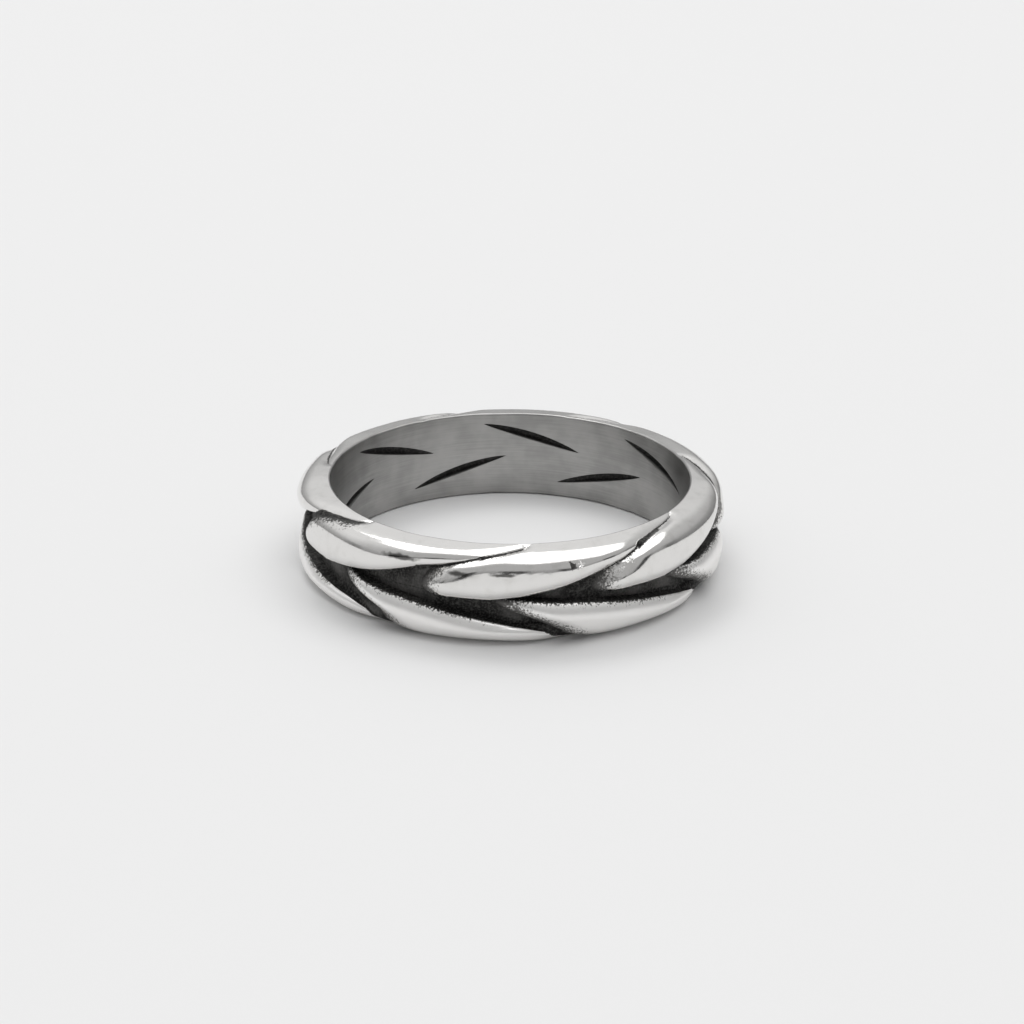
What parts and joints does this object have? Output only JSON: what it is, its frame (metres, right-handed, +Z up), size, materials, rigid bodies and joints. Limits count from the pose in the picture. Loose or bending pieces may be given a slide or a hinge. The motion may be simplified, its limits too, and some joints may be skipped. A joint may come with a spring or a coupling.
{
  "type": "twist ring",
  "caption": "Finger ring whose band is a flat braid of overlapping leaf-shaped strands, polished on top and dark in the gaps.",
  "frame": {"origin": "middle of the bore, at mid-width of the band", "axes": "+Z along the bore, the way the finger goes in; the ring lies on its side with +Z up, and the picture is taken from -Y"},
  "size_m": [0.0228, 0.0228, 0.005],
  "materials": {
    "silver": "polished silver, satin in the bore, oxidised black in the gaps"
  },
  "bodies": {
    "root": {"braided_band": "silver"}
  },
  "joints": []
}
